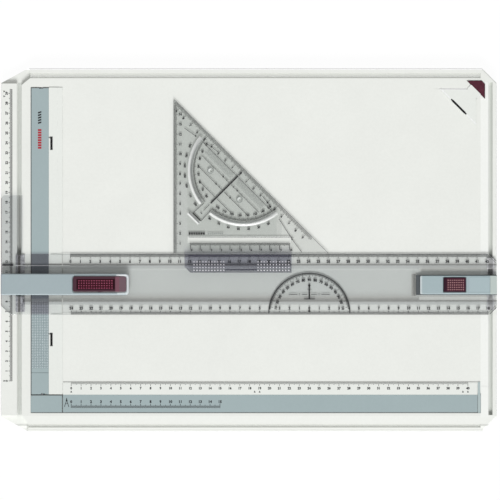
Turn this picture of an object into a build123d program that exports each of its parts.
from build123d import *
import os

# Portable A3 drawing board with a sliding straightedge, a set square that runs on it,
# a rocking clamp bar for the left edge of the sheet and a rocking clip for its corner.
# X runs to the right, Y away from the user, Z up; the origin is under the board's centre.

os.makedirs("parts", exist_ok=True)

# ---- driving dimensions, millimetres -------------------------------------------------
board_length = 500.0
board_depth = 366.0
foot_drop = 2.0            # height of the board's underside above the table
seam_height = 8.0          # the two shells meet here
surface_height = 16.0      # drawing surface
wall = 2.4                 # plastic shells
fit_gap = 0.3              # between pieces that move past each other
chamfer_long = 27.0        # left corners, along X
chamfer_short = 14.8       # left corners along Y, and right corners both ways

groove_floor = 11.0        # grooves that guide the straightedge, and the left corners
cross_groove_floor = 14.2  # grooves along the top and the bottom
recess_floor = 12.6        # under the rails and the corner clip
main_roof = 13.4           # cavity roof under the drawing surface
low_roof = 10.2            # cavity roof under the recesses

half_x = board_length / 2
half_y = board_depth / 2
left_strip = 16.2          # width of the strip left of the left groove
left_groove = (-half_x + left_strip, -half_x + left_strip + 4.5)
right_groove = (half_x - 8.3, half_x - 4.2)
top_groove = (half_y - 9.7, half_y - 4.7)
bottom_groove = (-half_y + 3.7, -half_y + 7.3)
surface_right = 233.7      # the drawing surface's right border
strip_end = 167.0          # the left strip stops here, above and below

# left clamp bar
rail_left = -219.7
rail_right = -201.7
lip_right = -187.9
rail_top_y = 163.7
rail_low_y = -145.75
rail_top = 16.6
rail_underside = 13.5
lip_underside = surface_height + fit_gap
lip_top = 16.95
tongue = (14.3, 15.3)        # heights of the tongue that joins a lip to its rail
tongue_depth = 2.5
tongue_left = -205.1
lip_foot = rail_right + 0.7    # right side of the lip's foot
pivot_x = -208.5
pivot_z = 15.0
pivot_radius = 0.8
keeper = (-197.4, -191.4)
magnet_x = -194.4
magnet_radius = 3.0
magnet_count = 6
magnet_pitch = 50.0
stop_x = (-200.0, -198.0)
stop_tick_x = -200.6
stop_tick = 1.4
stop_length = 13.0
stop_tops = (114.0, -83.9)

# bottom rail
bottom_rail = (-164.4, -146.1)
scale_lip_top = -133.3
bottom_rail_right = 230.6

# corner clip: u runs along its hinge, v towards the board's corner
clip_centre = (226.75, 159.25)
flap_half = 26.3
flap_reach = 22.7
hub_half = 6.5
hub_depth = 3.0
button_start = 3.4
button_half = 12.4
button_reach = 13.55
button_nose = 2.3
clip_button_top = 17.0
clip_spring_v = 8.0
clip_spring_floor = 10.8
clip_pin_radius = 0.6
clip_pin_length = 20.0
sheet_corner = (229.8, 162.4)  # where the fine lines for a sheet's corner meet
sheet_line = 0.2               # half the width of such a line

# straightedge
blade_underside = 17.8
blade_tip = 19.0
blade_top = 21.2
plate_top = 20.4
blade_left = -228.0
blade_right = 250.0
blade_edge = -4.1          # upper drawing edge
blade_low = -65.3
channel = (-18.7, -15.2)
channel_floor = 19.0
bevel_start = -55.2
plate_low = -49.3
end_chamfer = 7.0
flange_top = 55.0
shoe_floor = groove_floor + 0.4
shoe_plate_floor = surface_height + 0.35
left_shoe = (left_groove[0] + fit_gap, left_groove[1] - fit_gap)
right_shoe = (right_groove[0] + fit_gap, right_groove[1] - fit_gap)

# left head: cover, brake button, brake rod and shoe
head_left = -249.9
head_right = -120.8
head_low = -45.6
head_high = -24.1
head_top = 26.4
head_wall = 1.5
head_middle = (head_low + head_high) / 2
button_x = (-177.1, -123.5)
button_y = (-42.3, -26.9)
button_floor = 24.2
button_top = 27.2
button_corner = 2.2
rocker_x = sum(button_x) / 2
rocker_z = 24.6
rod = (20.7, 21.9)
rod_half = 1.6
brake_gap = 0.35
brake_screws = [(x, y) for x in (-243.0, -186.0) for y in (head_high - 4.2, head_low + 4.2)]

# right head: slider, end cap, lock button and hook
slider_x = (172.7, 243.0)
slider_y = (-44.8, -26.0)
slider_floor = 19.3
slider_tray = (18.7, 19.0)     # dark plate that the slider runs on
slider_top = 24.2
slider_recess = (168.5, -45.4, -25.4)
lock_x = (196.2, 218.5)
lock_y = (-42.3, -28.0)
lock_top = 25.0
lock_floor = 21.6
lock_pocket = 20.4
hook_y = (-41.0, -29.0)
hook_leg = (244.3, 245.5)
undercut = 1.2             # the right groove's outer wall is undercut for the hook
undercut_top = 13.4
hook_slot = (241.5, 246.1, hook_y[0] - 0.8, hook_y[1] + 0.8)

# set square
square_left = -75.9
square_low = -3.7
square_leg = 156.2
square_thickness = 2.0
window = (-61.7, 42.5, 7.2, 12.4)
protractor = (-5.4, 80.0)
grip_radius = 53.9           # of the raised grips round the protractor
grip_half = 2.4
grip_height = 0.9
grip_arcs = (142.0, 232.0)   # where each arc starts, in degrees
grip_turn = 76.0
short_grip_start = (-61.0, 37.1)
short_grip_length = 15.0
short_grip_half = 1.6
grip_x = (-64.8, 43.1)
grip_y = (-23.1, -1.7)
grip_floor = blade_top + fit_gap
grip_top = 23.5

colours = {
    "white": Color(0.92, 0.93, 0.9),
    "grey": Color(0.55, 0.63, 0.64),
    "red": Color(0.35, 0.08, 0.12),
    "black": Color(0.1, 0.1, 0.1),
    "clear": Color(0.75, 0.78, 0.78),
    "steel": Color(0.7, 0.7, 0.72),
}


def area(x0, x1, y0, y1, mode=Mode.ADD):
    """A rectangle between these limits, in the sketch at hand."""
    with Locations(((x0 + x1) / 2, (y0 + y1) / 2)):
        Rectangle(abs(x1 - x0), abs(y1 - y0), mode=mode)


def block(x0, x1, y0, y1, z0, z1, mode=Mode.ADD):
    """A box between these limits, in the part at hand."""
    with Locations(((x0 + x1) / 2, (y0 + y1) / 2, (z0 + z1) / 2)):
        Box(abs(x1 - x0), abs(y1 - y0), z1 - z0, mode=mode)


def outline(x, y, long_cut, short_cut):
    """The board's outline: long chamfers at the left, square ones at the right."""
    return [
        (-x, -y + short_cut), (-x + long_cut, -y), (x - short_cut, -y), (x, -y + short_cut),
        (x, y - short_cut), (x - short_cut, y), (-x + long_cut, y), (-x, y - short_cut),
    ]


def finish(name, builder, colour):
    """Labels a finished piece and writes its STEP file."""
    builder.part.label = name
    builder.part.color = colours[colour]
    export_step(builder.part, f"parts/{name}.step")


cavity = (-226.0, 238.0, -172.0, 170.0)          # hollow between the shells
main_cavity_left = -199.6
main_cavity_low = -142.0
clip_zone = (184.0, 116.0)                       # no deep cavity right of and above this
screw_places = [(x, y) for x in (-176.0, 0.0, 176.0) for y in (-130.0, 130.0)]
feet_places = [(x, y) for x in (-215.0, 215.0) for y in (-150.0, 150.0)]
foot_radius = 9.0

# ---- base shell ----------------------------------------------------------------------
floor_top = foot_drop + wall
with BuildPart() as base_shell:
    with BuildSketch(Plane.XY.offset(foot_drop)):
        Polygon(*outline(half_x, half_y, chamfer_long, chamfer_short), align=None)
    extrude(amount=seam_height - foot_drop)
    chamfer(base_shell.faces().sort_by(Axis.Z)[0].edges(), 1.6)
    with BuildSketch(Plane.XY.offset(floor_top)):
        Polygon(*outline(half_x - wall, half_y - wall, chamfer_long, chamfer_short), align=None)
    extrude(amount=seam_height - floor_top, mode=Mode.SUBTRACT)
    # stiffening ribs under the drawing surface
    with BuildSketch(Plane.XY.offset(floor_top)):
        for x in (-150, -90, -30, 30, 90, 150):
            area(x - 0.8, x + 0.8, main_cavity_low + 1, cavity[3] - 1)
        for y in (-100, -40, 20, 80):
            area(main_cavity_left + 10, cavity[1] - 1, y - 0.8, y + 0.8)
    extrude(amount=main_roof - 0.1 - floor_top)
    # low ribs under the rails
    with BuildSketch(Plane.XY.offset(floor_top)):
        for y in (-130, -70, -10, 50, 110):
            area(-half_x + wall, main_cavity_left + 10, y - 0.8, y + 0.8)
        for x in (-190, -110, -10, 70, 170):
            area(x - 0.8, x + 0.8, -half_y + wall, main_cavity_low + 1)
    extrude(amount=seam_height - floor_top)
    with BuildSketch(Plane.XY.offset(floor_top)):
        with Locations(*screw_places):
            Circle(4.6)
    extrude(amount=seam_height - floor_top)
    with BuildSketch(Plane.XY.offset(floor_top)):
        with Locations(*feet_places):
            Circle(foot_radius + 2)
    extrude(amount=1.0)
    with Locations(*[(x, y, foot_drop) for x, y in screw_places]):
        Cylinder(3.2, 3.6, align=(Align.CENTER, Align.CENTER, Align.MIN), mode=Mode.SUBTRACT)
        Cylinder(1.7, 6.0, align=(Align.CENTER, Align.CENTER, Align.MIN), mode=Mode.SUBTRACT)
    with Locations(*[(x, y, foot_drop) for x, y in feet_places]):
        Cylinder(foot_radius, 1.0, align=(Align.CENTER, Align.CENTER, Align.MIN), mode=Mode.SUBTRACT)
finish("base_shell", base_shell, "white")

# ---- rubber feet ---------------------------------------------------------------------
with BuildPart() as rubber_feet:
    with BuildSketch():
        with Locations(*feet_places):
            Circle(foot_radius)
    extrude(amount=foot_drop + 1.0)
    chamfer(rubber_feet.faces().group_by(Axis.Z)[0].edges(), 0.7)
finish("rubber_feet", rubber_feet, "black")

# ---- screws that hold the shells together --------------------------------------------
with BuildPart() as shell_screws:
    with Locations(*[(x, y, foot_drop + 1.4) for x, y in screw_places]):
        Cylinder(2.8, 2.2, align=(Align.CENTER, Align.CENTER, Align.MIN))
        Cylinder(1.5, 9.0, align=(Align.CENTER, Align.CENTER, Align.MIN))
    with Locations(*[(x, y, foot_drop + 1.4) for x, y in screw_places]):
        Box(3.4, 0.7, 1.0, align=(Align.CENTER, Align.CENTER, Align.MIN), mode=Mode.SUBTRACT)
        Box(0.7, 3.4, 1.0, align=(Align.CENTER, Align.CENTER, Align.MIN), mode=Mode.SUBTRACT)
finish("shell_screws", shell_screws, "steel")

# ---- corner clip's frame of reference and outlines -----------------------------------
clip_plane = Plane(origin=(*clip_centre, 0), x_dir=(1, -1, 0), z_dir=(0, 0, 1))
button_outline = [
    (-button_half, button_start), (button_half, button_start),
    (button_nose, button_reach), (-button_nose, button_reach),
]
flap_outline = [
    (-flap_half, -flap_reach), (flap_half, -flap_reach), (hub_half, -hub_depth),
    (hub_half, button_start), (-hub_half, button_start), (-hub_half, -hub_depth),
]

# ---- top shell -----------------------------------------------------------------------
recess_right = lip_foot + 0.35                   # right wall of the left rail's recess
recess_top_y = rail_top_y + fit_gap
bottom_recess = (-164.7, -144.8)
corner_zone = [
    (-half_x - 1, strip_end + 0.7), (left_groove[0], strip_end + 0.7), (left_groove[1], strip_end - 1),
    (-220.5, top_groove[0]), (-220.5, top_groove[1]), (-222, half_y + 1), (-half_x - 1, half_y + 1),
]
low_corner_zone = [
    (-half_x - 1, -strip_end), (left_groove[0], -strip_end), (left_groove[1], -strip_end + 0.4),
    (-222.5, bottom_groove[1]), (-222.5, bottom_groove[0]), (-224, -half_y - 1),
    (-half_x - 1, -half_y - 1),
]
rail_pin_end = rail_top_y + 4.8
with BuildPart() as top_shell:
    with BuildSketch(Plane.XY.offset(seam_height)):
        Polygon(*outline(half_x, half_y, chamfer_long, chamfer_short), align=None)
    extrude(amount=surface_height - seam_height)
    fillet(top_shell.faces().sort_by(Axis.Z)[-1].edges(), 1.2)
    # guide grooves along the four sides, and the lowered left corners
    with BuildSketch(Plane.XY.offset(groove_floor)):
        area(*left_groove, -strip_end - 1, strip_end + 1)
        area(*right_groove, -166.6, 169.0)
        Polygon(*corner_zone, align=None)
        Polygon(*low_corner_zone, align=None)
    extrude(amount=surface_height - groove_floor, mode=Mode.SUBTRACT)
    with BuildSketch(Plane.XY.offset(cross_groove_floor)):
        area(-221, surface_right, *top_groove)
        area(-223, surface_right, *bottom_groove)
    extrude(amount=surface_height - cross_groove_floor, mode=Mode.SUBTRACT)
    # undercut for the straightedge's hook
    block(right_groove[1], right_groove[1] + undercut, -166.6, 169.0,
          groove_floor, undercut_top, mode=Mode.SUBTRACT)
    # recesses for the rails
    with BuildSketch(Plane.XY.offset(recess_floor)):
        area(rail_left - 0.3, recess_right, bottom_recess[0], recess_top_y)
        area(rail_left - 0.3, surface_right + 0.3, *bottom_recess)
    extrude(amount=surface_height - recess_floor, mode=Mode.SUBTRACT)
    # recess for the corner clip's hub and button, and the pocket for its spring
    with BuildSketch(clip_plane.offset(recess_floor)):
        area(-hub_half, hub_half, -hub_depth, button_start)
        Polygon(*button_outline, align=None)
        offset(amount=0.35, kind=Kind.INTERSECTION)
    extrude(amount=surface_height - recess_floor, mode=Mode.SUBTRACT)
    with BuildSketch(clip_plane.offset(clip_spring_floor)):
        with Locations((0, clip_spring_v)):
            Circle(2.6)
    extrude(amount=recess_floor - clip_spring_floor, mode=Mode.SUBTRACT)
    # fine lines at the ends of the flap, on the edges of a sheet in its corner
    block(sheet_corner[0] - 43.8, sheet_corner[0] - 35.8, sheet_corner[1] - sheet_line,
          sheet_corner[1] + sheet_line, surface_height - 0.2, surface_height, mode=Mode.SUBTRACT)
    block(sheet_corner[0] - sheet_line, sheet_corner[0] + sheet_line, sheet_corner[1] - 48.4,
          sheet_corner[1] - 36.9, surface_height - 0.2, surface_height, mode=Mode.SUBTRACT)
    # the border right of the drawing surface lies a little lower
    block(surface_right, right_groove[0], -137.7, 152.0,
          surface_height - 0.25, surface_height, mode=Mode.SUBTRACT)
    # hollow underneath, with sleeves for the screws
    with BuildSketch(Plane.XY.offset(seam_height)):
        area(*cavity)
        with Locations(*screw_places):
            Circle(4.0, mode=Mode.SUBTRACT)
    extrude(amount=low_roof - seam_height, mode=Mode.SUBTRACT)
    with BuildSketch(Plane.XY.offset(low_roof)):
        area(main_cavity_left, cavity[1], main_cavity_low, cavity[3])
        area(clip_zone[0], cavity[1], clip_zone[1], cavity[3], mode=Mode.SUBTRACT)
        with Locations(*screw_places):
            Circle(4.0, mode=Mode.SUBTRACT)
    extrude(amount=main_roof - low_roof, mode=Mode.SUBTRACT)
    with Locations(*[(x, y, seam_height) for x, y in screw_places]):
        Cylinder(1.5, 4.6, align=(Align.CENTER, Align.CENTER, Align.MIN), mode=Mode.SUBTRACT)
    # pockets for the magnets, seen from inside
    with BuildSketch(Plane.XY.offset(main_roof)):
        with Locations((magnet_x, 12.0)):
            with GridLocations(1, magnet_pitch, 1, magnet_count):
                Circle(magnet_radius)
    extrude(amount=1.4, mode=Mode.SUBTRACT)
    # holes for the paper stops
    with BuildSketch(Plane.XY.offset(main_roof + 0.4)):
        for top in stop_tops:
            area(*stop_x, top - stop_length, top)
            area(stop_tick_x + 0.2, stop_x[1], top - stop_tick, top)
    extrude(amount=surface_height - main_roof - 0.4, mode=Mode.SUBTRACT)
    # bore for the clamp rail's upper pin
    with BuildSketch(Plane(origin=(pivot_x, recess_top_y - 0.5, pivot_z), z_dir=(0, 1, 0))):
        Circle(pivot_radius)
    extrude(amount=rail_pin_end - recess_top_y + 0.5, mode=Mode.SUBTRACT)
    # bores for the corner clip's pin, one each side of the hub
    with Locations(clip_plane * Location((0, 0, pivot_z), (0, 90, 0))):
        Cylinder(clip_pin_radius, clip_pin_length, mode=Mode.SUBTRACT)
finish("top_shell", top_shell, "white")

# ---- paper stops ---------------------------------------------------------------------
with BuildPart() as paper_stops:
    with BuildSketch(Plane.XY.offset(main_roof + 0.4)):
        for top in stop_tops:
            area(*stop_x, top - stop_length, top)
            area(stop_tick_x + 0.2, stop_x[1], top - stop_tick, top)
    extrude(amount=lip_top - main_roof - 0.4)
finish("paper_stops", paper_stops, "black")

# ---- magnets under the left lip ------------------------------------------------------
with BuildPart() as clamp_magnets:
    with BuildSketch(Plane.XY.offset(main_roof - 0.6)):
        with Locations((magnet_x, 12.0)):
            with GridLocations(1, magnet_pitch, 1, magnet_count):
                Circle(magnet_radius)
    extrude(amount=2.0)
finish("clamp_magnets", clamp_magnets, "steel")

# ---- left clamp rail -----------------------------------------------------------------
with BuildPart() as clamp_rail:
    with BuildSketch(Plane.XZ.offset(-rail_top_y)):
        area(rail_left, rail_right, rail_underside, rail_top)
        area(-217.5, -211.5, rail_underside, rail_underside + 1.4, mode=Mode.SUBTRACT)
        area(tongue_left, rail_right, *tongue, mode=Mode.SUBTRACT)
    extrude(amount=rail_top_y - rail_low_y)
    fillet(clamp_rail.edges().filter_by(Axis.Y).group_by(Axis.Z)[-1], 0.4)
    # pivot bores and the small notches over them
    with Locations((pivot_x, rail_top_y, pivot_z), (pivot_x, rail_low_y, pivot_z)):
        Cylinder(pivot_radius + 0.05, 16.0, rotation=(90, 0, 0), mode=Mode.SUBTRACT)
    block(-211.5, -207.5, rail_top_y - 1.2, rail_top_y, pivot_z, rail_top, mode=Mode.SUBTRACT)
    block(-209.5, -204.5, rail_low_y, rail_low_y + 1.2, pivot_z, rail_top, mode=Mode.SUBTRACT)
finish("clamp_rail", clamp_rail, "grey")

# ---- lip of the clamp rail -----------------------------------------------------------
with BuildPart() as clamp_lip:
    with BuildSketch(Plane.XZ.offset(-rail_top_y)):
        with BuildLine():
            Polyline(
                (tongue_left, tongue[0]), (lip_foot, tongue[0]), (lip_foot, lip_underside),
                (lip_right, lip_underside), (lip_right, lip_underside + 0.35), (lip_right - 5.1, lip_top),
                (rail_right, lip_top), (rail_right, tongue[1]), (tongue_left, tongue[1]), close=True,
            )
        make_face()
        area(*keeper, lip_underside, lip_underside + 0.3, mode=Mode.SUBTRACT)
    extrude(amount=rail_top_y - rail_low_y)
    # slots for the paper stops
    with BuildSketch(Plane.XY.offset(lip_underside)):
        for top in stop_tops:
            area(stop_x[0] - 0.35, stop_x[1] + 0.35, top - stop_length - 0.35, top + 0.35)
            area(stop_tick_x - 0.15, stop_x[1], top - stop_tick - 0.35, top + 0.35)
    extrude(amount=1.0, mode=Mode.SUBTRACT)
finish("clamp_lip", clamp_lip, "white")

# ---- steel strip under the lip -------------------------------------------------------
with BuildPart() as clamp_keeper_strip:
    block(*keeper, rail_low_y, rail_top_y, lip_underside, lip_underside + 0.3)
finish("clamp_keeper_strip", clamp_keeper_strip, "steel")

# ---- corner cap, where the two rails meet --------------------------------------------
with BuildPart() as corner_cap:
    block(rail_left - 0.1, lip_right - 0.4, bottom_rail[0], rail_low_y - 0.5, recess_floor, rail_top)
    fillet(corner_cap.faces().sort_by(Axis.Z)[-1].edges(), 0.4)
    with Locations((pivot_x, rail_low_y - 0.5, pivot_z)):
        Cylinder(pivot_radius, 14.0, rotation=(90, 0, 0), mode=Mode.SUBTRACT)
finish("corner_cap", corner_cap, "grey")

# ---- pins of the clamp rail ----------------------------------------------------------
pin_length = 12.0
with BuildPart() as clamp_pivot_pins:
    with Locations((pivot_x, rail_pin_end - pin_length / 2, pivot_z)):
        Cylinder(pivot_radius, pin_length, rotation=(90, 0, 0))
    with Locations((pivot_x, rail_low_y - 7.5 + pin_length / 2, pivot_z)):
        Cylinder(pivot_radius, pin_length, rotation=(90, 0, 0))
finish("clamp_pivot_pins", clamp_pivot_pins, "steel")

# ---- bottom rail ---------------------------------------------------------------------
with BuildPart() as stop_rail:
    with BuildSketch(Plane.YZ.offset(lip_right)):
        area(*bottom_rail, recess_floor, rail_top)
        area(bottom_rail[1] - tongue_depth, bottom_rail[1], *tongue, mode=Mode.SUBTRACT)
    extrude(amount=bottom_rail_right - lip_right)
    fillet(stop_rail.edges().filter_by(Axis.X).group_by(Axis.Z)[-1], 0.4)
finish("stop_rail", stop_rail, "grey")

scale_lip_left = lip_right + 0.5
scale_lip_foot = bottom_rail[1] + 0.9
with BuildPart() as scale_lip:
    with BuildSketch(Plane.YZ.offset(scale_lip_left)):
        with BuildLine():
            Polyline(
                (bottom_rail[1] - tongue_depth, tongue[0]), (scale_lip_foot, tongue[0]),
                (scale_lip_foot, lip_underside), (scale_lip_top, lip_underside + 0.1),
                (scale_lip_top, lip_underside + 0.35), (scale_lip_top - 1.2, lip_top),
                (bottom_rail[1], lip_top), (bottom_rail[1], tongue[1]),
                (bottom_rail[1] - tongue_depth, tongue[1]), close=True,
            )
        make_face()
    extrude(amount=bottom_rail_right - scale_lip_left)
finish("scale_lip", scale_lip, "white")

with BuildPart() as rail_end_cap:
    block(bottom_rail_right + 0.4, surface_right, *bottom_rail, recess_floor, rail_top)
    block(bottom_rail_right + 0.4, surface_right - 0.5, bottom_rail[1], scale_lip_top,
          lip_underside + 0.1, lip_top)
    block(bottom_rail_right + 0.4, surface_right - 0.5, bottom_rail[1], scale_lip_foot,
          tongue[0], lip_underside + 0.1)
finish("rail_end_cap", rail_end_cap, "grey")

# ---- corner clip ---------------------------------------------------------------------
bar_slot = (-10.8, 10.8, -21.95, -20.45)
with BuildPart() as corner_clip_flap:
    with BuildSketch(clip_plane.offset(lip_underside)):
        Polygon(*flap_outline, align=None)
        area(*bar_slot, mode=Mode.SUBTRACT)
    extrude(amount=0.6)
    with BuildSketch(clip_plane.offset(rail_underside)):
        area(-hub_half, hub_half, -hub_depth, button_start)
    extrude(amount=lip_underside - rail_underside)
    with Locations(clip_plane * Location((0, 0, pivot_z), (0, 90, 0))):
        Cylinder(clip_pin_radius + 0.05, 4 * hub_half, mode=Mode.SUBTRACT)
finish("corner_clip_flap", corner_clip_flap, "white")

with BuildPart() as corner_clip_bar:
    with BuildSketch(clip_plane.offset(lip_underside)):
        area(*bar_slot)
    extrude(amount=0.62)
finish("corner_clip_bar", corner_clip_bar, "black")

with BuildPart() as corner_clip_button:
    with BuildSketch(clip_plane.offset(rail_underside + 0.1)):
        Polygon(*button_outline, align=None)
    extrude(amount=clip_button_top - rail_underside - 0.1)
    fillet(corner_clip_button.faces().sort_by(Axis.Z)[-1].edges(), 0.4)
    with BuildSketch(clip_plane.offset(rail_underside + 0.1)):
        with Locations((0, clip_spring_v)):
            Circle(2.5)
    extrude(amount=1.3, mode=Mode.SUBTRACT)
finish("corner_clip_button", corner_clip_button, "red")

with BuildPart() as corner_clip_pin:
    with Locations(clip_plane * Location((0, 0, pivot_z), (0, 90, 0))):
        Cylinder(clip_pin_radius, clip_pin_length)
finish("corner_clip_pin", corner_clip_pin, "steel")

wire = 0.25
clip_spring_place = clip_plane.from_local_coords(Vector(0, clip_spring_v, clip_spring_floor + wire))
clip_spring_length = rail_underside + 1.4 - clip_spring_floor
with BuildPart() as corner_clip_spring:
    with BuildLine() as clip_coil:
        Helix(pitch=(clip_spring_length - 2 * wire) / 3, height=clip_spring_length - 2 * wire,
              radius=1.9, center=clip_spring_place)
    with BuildSketch(Plane(origin=clip_coil.line @ 0, z_dir=clip_coil.line % 0)):
        Circle(wire)
    sweep()
finish("corner_clip_spring", corner_clip_spring, "steel")

# ---- straightedge --------------------------------------------------------------------
with BuildPart() as straightedge_blade:
    with BuildSketch(Plane.YZ.offset(blade_left)):
        with BuildLine():
            Polyline(
                (blade_edge, blade_underside), (blade_edge, blade_tip), (channel[1], blade_top),
                (channel[1], channel_floor), (channel[0], channel_floor), (channel[0], plate_top),
                (plate_low, plate_top), (plate_low, blade_top), (bevel_start, blade_top),
                (blade_low, blade_tip), (blade_low, blade_underside), close=True,
            )
        make_face()
    extrude(amount=blade_right - blade_left)
    for corner in straightedge_blade.edges().filter_by(Axis.Z).group_by(Axis.X)[-1].group_by(Axis.Y)[0]:
        chamfer(corner, end_chamfer)
    for corner in straightedge_blade.edges().filter_by(Axis.Z).group_by(Axis.X)[-1].group_by(Axis.Y)[-1]:
        chamfer(corner, end_chamfer)
    # recess for the right head, and the slot for its hook
    block(slider_recess[0], blade_right + 1, slider_recess[1], slider_recess[2],
          slider_tray[0], blade_top + 1, mode=Mode.SUBTRACT)
    block(*hook_slot, blade_underside - 1, slider_tray[1], mode=Mode.SUBTRACT)
    # countersinks for the screws of the left head
    with Locations(*[Location((x, y, blade_underside), (180, 0, 0)) for x, y in brake_screws[2:]]):
        CounterSinkHole(radius=1.0, counter_sink_radius=2.0, depth=8)
finish("straightedge_blade", straightedge_blade, "clear")

# ---- flange at the straightedge's left end -------------------------------------------
flange_outline = [
    (-half_x, blade_low + 9.0), (-half_x + 10.0, blade_low), (blade_left, blade_low),
    (blade_left, flange_top), (-half_x + 3.0, flange_top), (-half_x, flange_top - 3.0),
]
shoe_slot = (left_groove[0] - 0.1, left_groove[1] + 0.7)
with BuildPart() as guide_flange:
    with BuildSketch(Plane.XY.offset(blade_underside)):
        Polygon(*flange_outline, align=None)
    extrude(amount=plate_top - blade_underside)
    fillet(guide_flange.faces().sort_by(Axis.Z)[-1].edges(), 0.5)
    # long rib that runs in the left groove
    block(*left_shoe, -3.5, flange_top - 1.8, shoe_floor, blade_underside)
    # slot for the brake shoe
    block(*shoe_slot, -41.5, -28.2, blade_underside - 1, plate_top + 1, mode=Mode.SUBTRACT)
    with Locations(*[Location((x, y, blade_underside), (180, 0, 0)) for x, y in brake_screws[:2]]):
        CounterSinkHole(radius=1.0, counter_sink_radius=2.0, depth=8)
finish("guide_flange", guide_flange, "clear")

# ---- sliding blocks in the left and right grooves ------------------------------------
left_shoe_spans = [(-23.0, -5.0), (-62.7, -47.0)]
right_shoe_spans = [(-24.5, -8.0), (-61.0, -45.5)]
with BuildPart() as left_guide_shoes:
    for low, high in left_shoe_spans:
        block(*left_shoe, low, high, shoe_floor, shoe_plate_floor)
        block(-235.0, -226.0, low, high, shoe_plate_floor, blade_underside)
finish("left_guide_shoes", left_guide_shoes, "black")

with BuildPart() as right_guide_shoes:
    for low, high in right_shoe_spans:
        block(*right_shoe, low, high, shoe_floor, shoe_plate_floor)
        block(240.2, 247.4, low, high, shoe_plate_floor, blade_underside)
finish("right_guide_shoes", right_guide_shoes, "black")

# ---- cover of the left head ----------------------------------------------------------
cover_roof = head_top - head_wall
with BuildPart() as left_head_cover:
    block(head_left, head_right, head_low, head_high, plate_top, head_top)
    fillet(left_head_cover.edges().filter_by(Axis.Z).group_by(Axis.X)[-1], 3.6)
    fillet(left_head_cover.edges().filter_by(Axis.Z).group_by(Axis.X)[0], 1.5)
    fillet(left_head_cover.faces().sort_by(Axis.Z)[-1].edges(), 1.2)
    block(head_left + head_wall, head_right - 1.7, head_low + head_wall, head_high - head_wall,
          plate_top, cover_roof, mode=Mode.SUBTRACT)
    # opening for the brake button
    with BuildSketch(Plane.XY.offset(plate_top)):
        with Locations((rocker_x, sum(button_y) / 2)):
            RectangleRounded(button_x[1] - button_x[0] + 0.8, button_y[1] - button_y[0] + 0.8,
                             button_corner + 0.4)
    extrude(amount=head_top - plate_top, mode=Mode.SUBTRACT)
    chamfer(left_head_cover.faces().sort_by(Axis.Z)[-1].inner_wires()[0].edges(), 0.8)
    # posts for the screws
    with Locations(*[(x, y, plate_top) for x, y in brake_screws]):
        Cylinder(2.2, cover_roof - plate_top, align=(Align.CENTER, Align.CENTER, Align.MIN))
    with Locations(*[(x, y, plate_top) for x, y in brake_screws]):
        Cylinder(1.0, 3.6, align=(Align.CENTER, Align.CENTER, Align.MIN), mode=Mode.SUBTRACT)
    with Locations((rocker_x, head_middle, rocker_z)):
        Cylinder(0.8, 20.2, rotation=(90, 0, 0), mode=Mode.SUBTRACT)
finish("left_head_cover", left_head_cover, "grey")

with BuildPart() as head_screws:
    with BuildSketch(Plane.XZ) as screw_profile:
        with BuildLine():
            Polyline((0, 0), (2.0, 0), (1.0, 1.0), (1.0, 6.0), (0, 6.0), close=True)
        make_face()
    revolve(axis=Axis.Z)
one_screw = head_screws.part
with BuildPart() as head_screws:
    with Locations(*[(x, y, blade_underside) for x, y in brake_screws]):
        add(one_screw)
finish("head_screws", head_screws, "steel")

# ---- brake: pin, button, rod, shoe and springs ---------------------------------------
with BuildPart() as brake_pivot_pin:
    with Locations((rocker_x, head_middle, rocker_z)):
        Cylinder(0.8, 20.2, rotation=(90, 0, 0))
finish("brake_pivot_pin", brake_pivot_pin, "steel")

with BuildPart() as brake_button:
    block(*button_x, *button_y, button_floor, button_top)
    fillet(brake_button.edges().filter_by(Axis.Z), button_corner)
    # lighter end, sloping down to the right
    with BuildSketch(Plane.XZ.offset(-button_y[1] - 1)):
        with BuildLine():
            Polyline((-134.4, button_top), (button_x[1] + 1, button_top),
                     (button_x[1] + 1, button_top - 1.3), close=True)
        make_face()
    extrude(amount=button_y[1] - button_y[0] + 2, mode=Mode.SUBTRACT)
    # hub around the pin, and the lever that pulls the rod
    with Locations((rocker_x, head_middle, rocker_z)):
        Cylinder(1.9, button_y[1] - button_y[0], rotation=(90, 0, 0))
    block(rocker_x - 1.5, rocker_x + 1.5, head_middle - 1.6, head_middle + 1.6,
          rod[0] + 0.05, button_floor + 0.4)
    with Locations((rocker_x, head_middle, rocker_z)):
        Cylinder(0.87, 20.2, rotation=(90, 0, 0), mode=Mode.SUBTRACT)
finish("brake_button", brake_button, "red")

brake_shoe_x = (left_groove[0] + 0.9, left_groove[1] - brake_gap)
with BuildPart() as brake_rod:
    block(brake_shoe_x[0], rocker_x + 5.0, head_middle - rod_half, head_middle + rod_half, *rod)
    block(rocker_x - 5.0, rocker_x + 5.0, head_middle - 3.6, head_middle + 3.6, *rod)
    block(rocker_x - 1.85, rocker_x + 1.85, head_middle - 2.0, head_middle + 2.0,
          *rod, mode=Mode.SUBTRACT)
finish("brake_rod", brake_rod, "steel")

with BuildPart() as brake_shoe:
    block(*brake_shoe_x, head_middle - 5.8, head_middle + 5.8, shoe_floor, shoe_plate_floor)
    block(*brake_shoe_x, head_middle - 3.0, head_middle + 3.0, shoe_plate_floor, rod[0])
finish("brake_shoe", brake_shoe, "black")

spring_x = -170.0
brake_spring_length = button_floor - plate_top
with BuildPart() as brake_springs:
    for y in (head_middle - 5.2, head_middle + 5.2):
        with BuildLine() as brake_coil:
            Helix(pitch=(brake_spring_length - 2 * wire) / 3, height=brake_spring_length - 2 * wire,
                  radius=1.5, center=(spring_x, y, plate_top + wire))
        with BuildSketch(Plane(origin=brake_coil.line @ 0, z_dir=brake_coil.line % 0)):
            Circle(wire)
        sweep(path=brake_coil.line)
finish("brake_springs", brake_springs, "steel")

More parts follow.
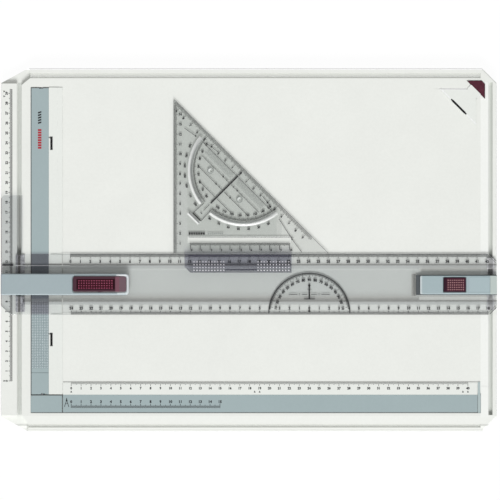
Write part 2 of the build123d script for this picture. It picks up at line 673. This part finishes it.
# ---- right head: tray, slider, end cap, hook and lock button --------------------------
with BuildPart() as lock_tray:
    block(slider_recess[0], blade_right, slider_recess[1], slider_recess[2], *slider_tray)
    block(*hook_slot, *slider_tray, mode=Mode.SUBTRACT)
finish("lock_tray", lock_tray, "black")

with BuildPart() as lock_slider:
    block(*slider_x, *slider_y, slider_floor, slider_top)
    fillet(lock_slider.edges().filter_by(Axis.Z).group_by(Axis.X)[0], 1.5)
    fillet(lock_slider.faces().sort_by(Axis.Z)[-1].edges().filter_by(Axis.X), 0.8)
    block(lock_x[0] - 0.35, lock_x[1] + 0.35, lock_y[0] - 0.35, lock_y[1] + 0.35,
          lock_pocket, slider_top + 1, mode=Mode.SUBTRACT)
    chamfer(lock_slider.faces().sort_by(Axis.Z)[-1].inner_wires()[0].edges(), 0.5)
    block(236.0, slider_x[1], *hook_y, slider_floor, slider_floor + 0.9, mode=Mode.SUBTRACT)
finish("lock_slider", lock_slider, "grey")

with BuildPart() as lock_end_cap:
    block(slider_x[1], blade_right, *slider_y, slider_floor, slider_top - 0.5)
    fillet(lock_end_cap.faces().sort_by(Axis.X)[-1].edges().filter_by(Axis.Z), 1.5)
    fillet(lock_end_cap.faces().sort_by(Axis.Z)[-1].edges(), 0.5)
    block(slider_x[1], hook_leg[1], *hook_y, slider_floor, slider_floor + 0.9, mode=Mode.SUBTRACT)
finish("lock_end_cap", lock_end_cap, "white")

with BuildPart() as lock_hook:
    block(236.0, hook_leg[1], *hook_y, slider_floor, slider_floor + 0.9)
    block(*hook_leg, *hook_y, shoe_floor, slider_floor)
    block(hook_leg[1], right_groove[1] + undercut - fit_gap, *hook_y, shoe_floor, undercut_top - 0.5)
finish("lock_hook", lock_hook, "steel")

with BuildPart() as lock_button:
    block(*lock_x, *lock_y, lock_floor, lock_top)
    fillet(lock_button.edges().filter_by(Axis.Z), 0.8)
    fillet(lock_button.faces().sort_by(Axis.Z)[-1].edges(), 0.4)
    with BuildSketch(Plane.XY.offset(lock_floor)):
        with Locations((sum(lock_x) / 2, sum(lock_y) / 2)):
            Circle(2.6)
    extrude(amount=2.0, mode=Mode.SUBTRACT)
finish("lock_button", lock_button, "red")

lock_spring_length = lock_floor + 2.0 - lock_pocket
with BuildPart() as lock_button_spring:
    with BuildLine() as lock_coil:
        Helix(pitch=(lock_spring_length - 2 * wire) / 3, height=lock_spring_length - 2 * wire,
              radius=1.9, center=(sum(lock_x) / 2, sum(lock_y) / 2, lock_pocket + wire))
    with BuildSketch(Plane(origin=lock_coil.line @ 0, z_dir=lock_coil.line % 0)):
        Circle(wire)
    sweep()
finish("lock_button_spring", lock_button_spring, "steel")

# ---- set square ----------------------------------------------------------------------
def low_arch(middle, half):
    """A low arch on its chord, in the line at hand."""
    ThreePointArc((middle - half, 0), (middle, grip_height), (middle + half, 0))
    Line((middle + half, 0), (middle - half, 0))


square_corner = (square_left, square_low)
rivet_places = [(-50.0, -2.7), (-10.9, -2.7), (28.0, -2.7)]
square_top = blade_underside + square_thickness
with BuildPart() as set_square:
    with BuildSketch(Plane.XY.offset(blade_underside)):
        Polygon(square_corner, (square_left + square_leg + 0.6, square_low),
                (square_left, square_low + square_leg), align=None)
        area(*window, mode=Mode.SUBTRACT)
    extrude(amount=square_thickness)
    # raised finger grips with a round top: two arcs round the protractor, and a straight one
    for start in grip_arcs:
        radial = Vector(1, 0, 0).rotate(Axis.Z, start)
        with BuildSketch(Plane((*protractor, square_top), radial, radial.cross(Vector(0, 0, 1)))):
            with BuildLine():
                low_arch(grip_radius, grip_half)
            make_face()
        revolve(axis=Axis((*protractor, 0), (0, 0, 1)), revolution_arc=grip_turn)
    with BuildSketch(Plane((*short_grip_start, square_top), (1, 1, 0), (1, -1, 0))):
        with BuildLine():
            low_arch(0, short_grip_half)
        make_face()
    extrude(amount=short_grip_length)
    with Locations(*[(x, y, blade_underside) for x, y in rivet_places]):
        Cylinder(0.6, square_thickness, align=(Align.CENTER, Align.CENTER, Align.MIN),
                 mode=Mode.SUBTRACT)
finish("set_square", set_square, "clear")

# ---- grip clip that holds the set square to the straightedge --------------------------
with BuildPart() as grip_clip:
    with BuildSketch(Plane.YZ.offset(grip_x[0])):
        with BuildLine():
            Polyline(
                (grip_y[1], square_top), (grip_y[1], grip_top - 0.6), (grip_y[1] - 0.6, grip_top),
                (grip_y[0] + 0.6, grip_top), (grip_y[0], grip_top - 0.6), (grip_y[0], grip_floor),
                (channel[0] + fit_gap, grip_floor), (channel[0] + fit_gap, channel_floor + fit_gap),
                (channel[1] - fit_gap, channel_floor + fit_gap), (channel[1] - fit_gap, grip_floor),
                (-6.0, grip_floor), (-6.0, square_top), close=True,
            )
        make_face()
    extrude(amount=grip_x[1] - grip_x[0])
    chamfer(grip_clip.edges().filter_by(Axis.Z).group_by(Axis.X)[0].group_by(Axis.Y)[0], 6.0)
    with Locations(*[(x, y, square_top) for x, y in rivet_places]):
        Cylinder(0.6, 2.0, align=(Align.CENTER, Align.CENTER, Align.MIN), mode=Mode.SUBTRACT)
finish("grip_clip", grip_clip, "clear")

with BuildPart() as clip_rivets:
    with Locations(*[(x, y, blade_underside) for x, y in rivet_places]):
        Cylinder(0.6, square_thickness + 2.0, align=(Align.CENTER, Align.CENTER, Align.MIN))
finish("clip_rivets", clip_rivets, "steel")
